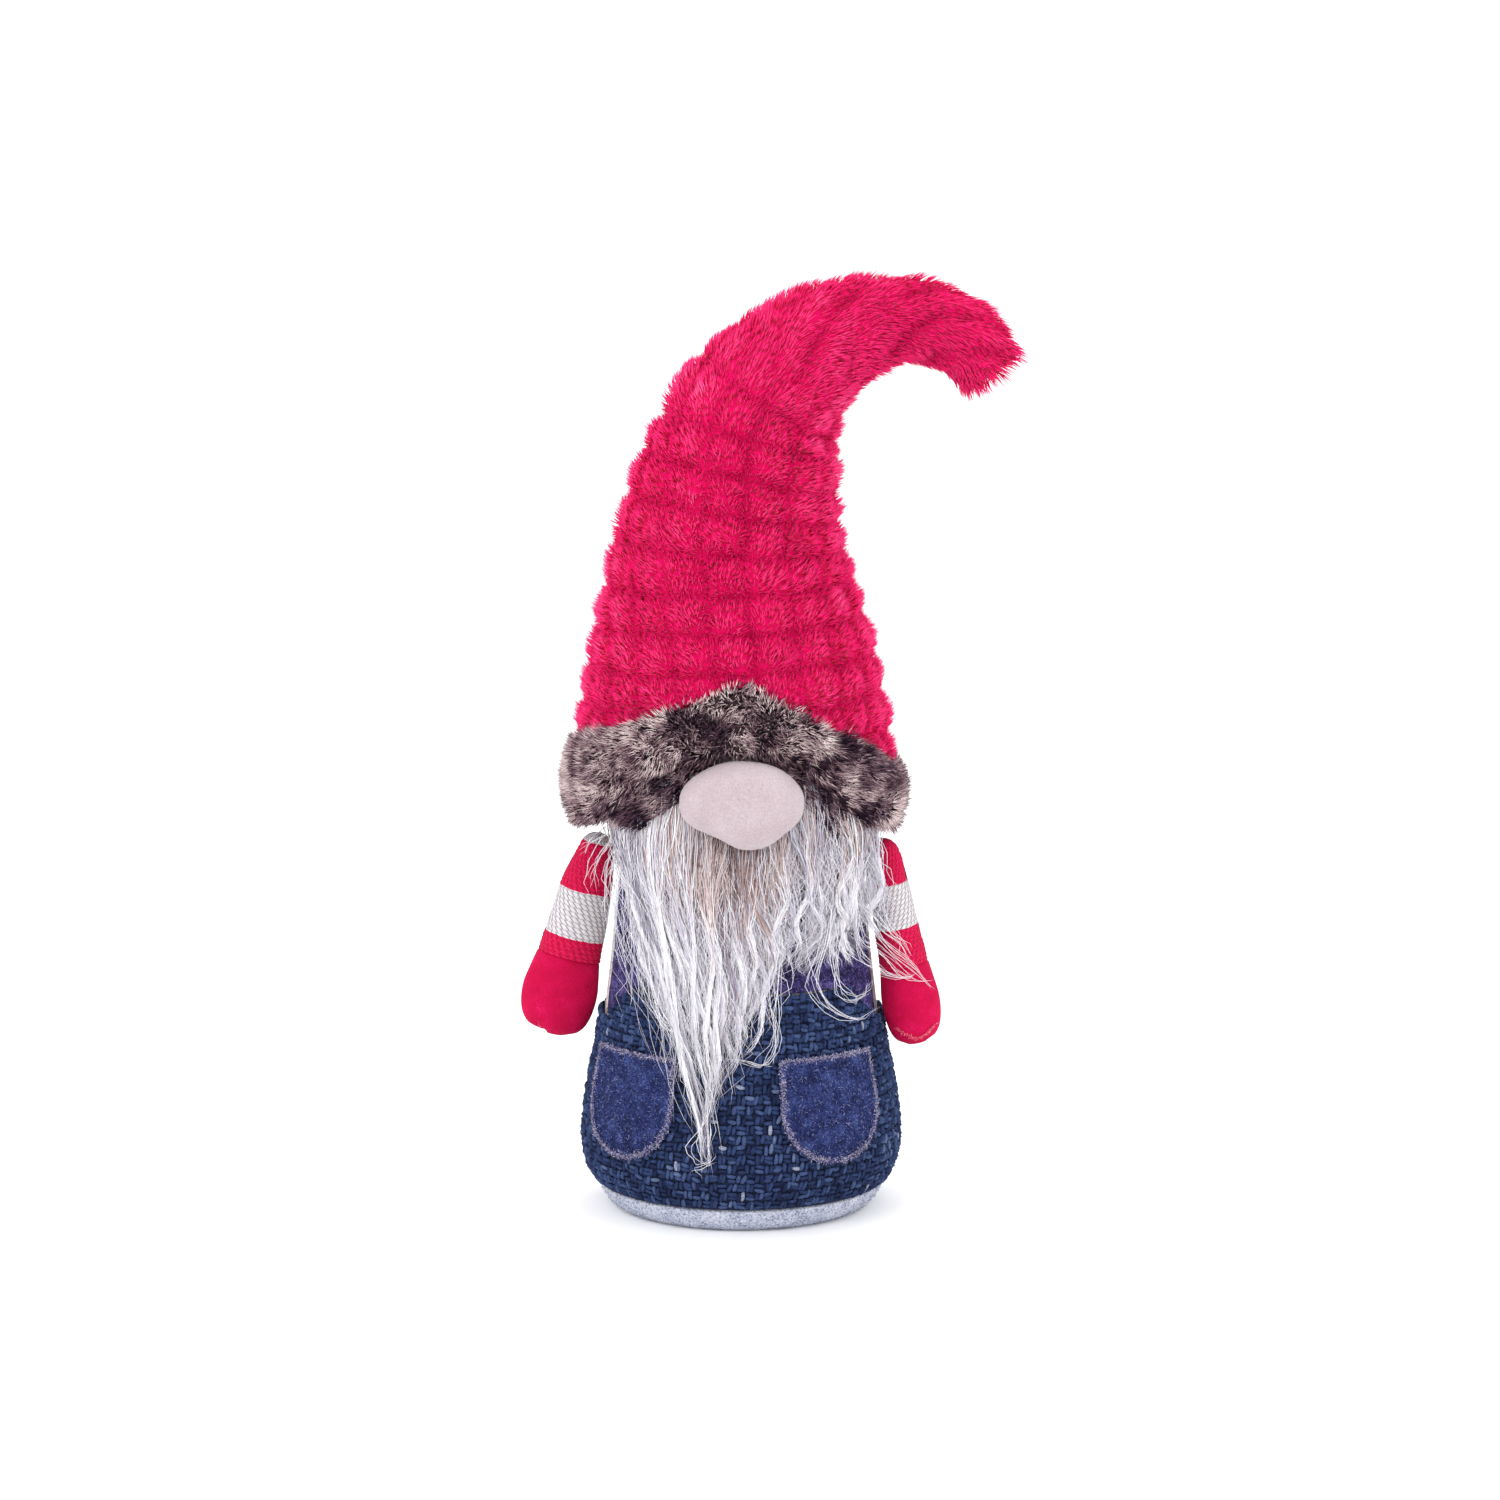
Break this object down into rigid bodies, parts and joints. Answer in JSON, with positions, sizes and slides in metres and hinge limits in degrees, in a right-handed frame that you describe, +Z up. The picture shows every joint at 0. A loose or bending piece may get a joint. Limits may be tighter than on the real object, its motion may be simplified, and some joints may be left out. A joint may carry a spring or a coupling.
{
  "type": "tomte gnome figurine",
  "caption": "Stuffed tomte gnome with a fur-brimmed plush hat whose wired tip bends, a big nose, a long pale beard, striped sewn arms and woven dungarees on a weighted base.",
  "frame": {"origin": "on the floor at the middle of the round felt base, which is also the body's upright axis", "axes": "+Z up; the figure faces -Y; +X is the figure's own left, towards which the hat's tip leans"},
  "size_m": [0.1877, 0.1393, 0.3536],
  "materials": {
    "red_plush": "matte",
    "brown_fur": "matte",
    "nose_fleece": "matte",
    "beard_hair": "satin",
    "beard_backing": "matte",
    "navy_weave": "matte",
    "bib_felt": "matte",
    "pocket_felt": "matte",
    "grey_felt": "matte",
    "cream_knit": "matte",
    "striped_knit": "matte",
    "red_felt": "matte",
    "fibre_fill": "matte",
    "board": "matte",
    "pellet_bag": "matte",
    "wire": "satin",
    "thread": "matte"
  },
  "bodies": {
    "root": {"base_felt": "grey_felt", "base_board": "board", "pellet_bag": "pellet_bag", "body_filling": "fibre_fill", "sweater": "cream_knit", "skirt": "navy_weave", "bib": "bib_felt", "right_pocket": "pocket_felt", "left_pocket": "pocket_felt", "beard_backing": "beard_backing", "beard_hair": "beard_hair", "nose_skin": "nose_fleece", "nose_filling": "fibre_fill", "hat": "red_plush", "hat_filling": "fibre_fill", "hat_wire": "wire", "brim": "brown_fur"},
    "right_shoulder": {"right_shoulder_stitches": "thread"},
    "right_arm": {"right_sleeve": "striped_knit", "right_mitten_front": "red_felt", "right_mitten_back": "red_felt", "right_arm_filling": "fibre_fill"},
    "left_shoulder": {"left_shoulder_stitches": "thread"},
    "left_arm": {"left_sleeve": "striped_knit", "left_mitten_front": "red_felt", "left_mitten_back": "red_felt", "left_arm_filling": "fibre_fill"},
    "hat_tip": {"hat_tip": "red_plush", "hat_tip_filling": "fibre_fill", "hat_tip_wire": "wire"}
  },
  "joints": [
    {"name": "right_arm_swing", "type": "hinge", "parent": "root", "child": "right_shoulder", "pos_m": [-0.0552, 0.004, 0.137], "axis": [-1, 0, 0], "range_deg": [-45, 70]},
    {"name": "right_arm_lift", "type": "hinge", "parent": "right_shoulder", "child": "right_arm", "pos_m": [-0.0552, 0.004, 0.137], "axis": [0, 1, 0], "range_deg": [0, 60]},
    {"name": "left_arm_swing", "type": "hinge", "parent": "root", "child": "left_shoulder", "pos_m": [0.0536, -0.009, 0.137], "axis": [-1, 0, 0], "range_deg": [-45, 70]},
    {"name": "left_arm_lift", "type": "hinge", "parent": "left_shoulder", "child": "left_arm", "pos_m": [0.0536, -0.009, 0.137], "axis": [0, -1, 0], "range_deg": [0, 60]},
    {"name": "hat_tip_bend", "type": "hinge", "parent": "root", "child": "hat_tip", "pos_m": [0.014, 0, 0.316], "axis": [0, 1, 0], "range_deg": [-45, 40]}
  ]
}
